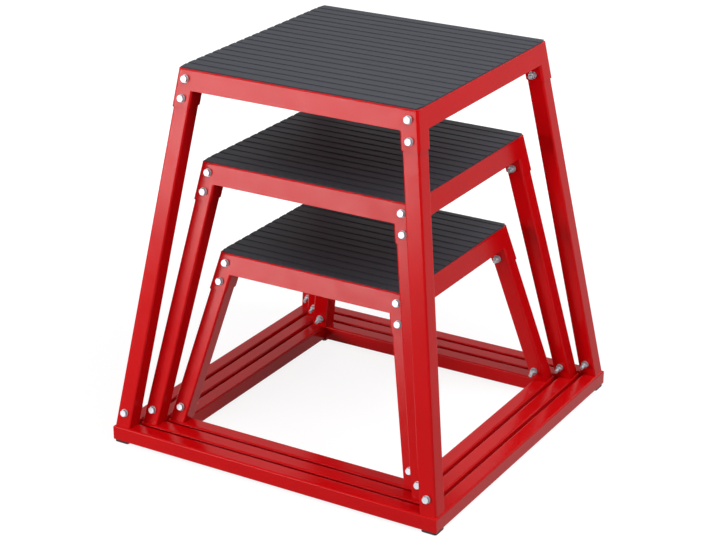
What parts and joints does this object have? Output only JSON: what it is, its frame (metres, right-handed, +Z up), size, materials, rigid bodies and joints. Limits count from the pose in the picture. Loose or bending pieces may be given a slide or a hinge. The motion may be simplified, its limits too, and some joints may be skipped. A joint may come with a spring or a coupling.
{
  "type": "nesting plyo box set",
  "caption": "Nested plyo boxes: square ribbed rubber tops on red steel tube frames that flare to a wide base. Each box lifts off the next smaller one.",
  "frame": {"origin": "centre of the base, on the floor", "axes": "+Z up; +X to the right along the front, which faces -Y; the bolts lie along Y"},
  "size_m": [0.584, 0.5842, 0.61],
  "materials": {
    "red_powder_coat": "gloss powder coat on steel",
    "ribbed_rubber": "matt ribbed sheet rubber",
    "foot_rubber": "matt moulded rubber",
    "bright_zinc": "bright zinc plate"
  },
  "bodies": {
    "small_box": {"small_rubber_mat": "ribbed_rubber", "small_deck_panel": "red_powder_coat", "small_front_skirt_rail": "red_powder_coat", "small_right_skirt_rail": "red_powder_coat", "small_back_skirt_rail": "red_powder_coat", "small_left_skirt_rail": "red_powder_coat", "small_top_sockets": "red_powder_coat", "small_front_left_leg": "red_powder_coat", "small_front_right_leg": "red_powder_coat", "small_back_left_leg": "red_powder_coat", "small_back_right_leg": "red_powder_coat", "small_base_stubs": "red_powder_coat", "small_front_base_rail": "red_powder_coat", "small_right_base_rail": "red_powder_coat", "small_back_base_rail": "red_powder_coat", "small_left_base_rail": "red_powder_coat", "small_feet": "foot_rubber", "small_bolts": "bright_zinc", "small_washers": "bright_zinc", "small_nuts": "bright_zinc"},
    "medium_box": {"medium_rubber_mat": "ribbed_rubber", "medium_deck_panel": "red_powder_coat", "medium_front_skirt_rail": "red_powder_coat", "medium_right_skirt_rail": "red_powder_coat", "medium_back_skirt_rail": "red_powder_coat", "medium_left_skirt_rail": "red_powder_coat", "medium_top_sockets": "red_powder_coat", "medium_front_left_leg": "red_powder_coat", "medium_front_right_leg": "red_powder_coat", "medium_back_left_leg": "red_powder_coat", "medium_back_right_leg": "red_powder_coat", "medium_base_stubs": "red_powder_coat", "medium_front_base_rail": "red_powder_coat", "medium_right_base_rail": "red_powder_coat", "medium_back_base_rail": "red_powder_coat", "medium_left_base_rail": "red_powder_coat", "medium_feet": "foot_rubber", "medium_bolts": "bright_zinc", "medium_washers": "bright_zinc", "medium_nuts": "bright_zinc"},
    "large_box": {"large_rubber_mat": "ribbed_rubber", "large_deck_panel": "red_powder_coat", "large_front_skirt_rail": "red_powder_coat", "large_right_skirt_rail": "red_powder_coat", "large_back_skirt_rail": "red_powder_coat", "large_left_skirt_rail": "red_powder_coat", "large_top_sockets": "red_powder_coat", "large_front_left_leg": "red_powder_coat", "large_front_right_leg": "red_powder_coat", "large_back_left_leg": "red_powder_coat", "large_back_right_leg": "red_powder_coat", "large_base_stubs": "red_powder_coat", "large_front_base_rail": "red_powder_coat", "large_right_base_rail": "red_powder_coat", "large_back_base_rail": "red_powder_coat", "large_left_base_rail": "red_powder_coat", "large_feet": "foot_rubber", "large_bolts": "bright_zinc", "large_washers": "bright_zinc", "large_nuts": "bright_zinc"}
  },
  "joints": [
    {"name": "medium_lift", "type": "slide", "parent": "small_box", "child": "medium_box", "axis": [0, 0, 1], "range_m": [0, 0.33]},
    {"name": "large_lift", "type": "slide", "parent": "medium_box", "child": "large_box", "axis": [0, 0, 1], "range_m": [0, 0.48]}
  ]
}
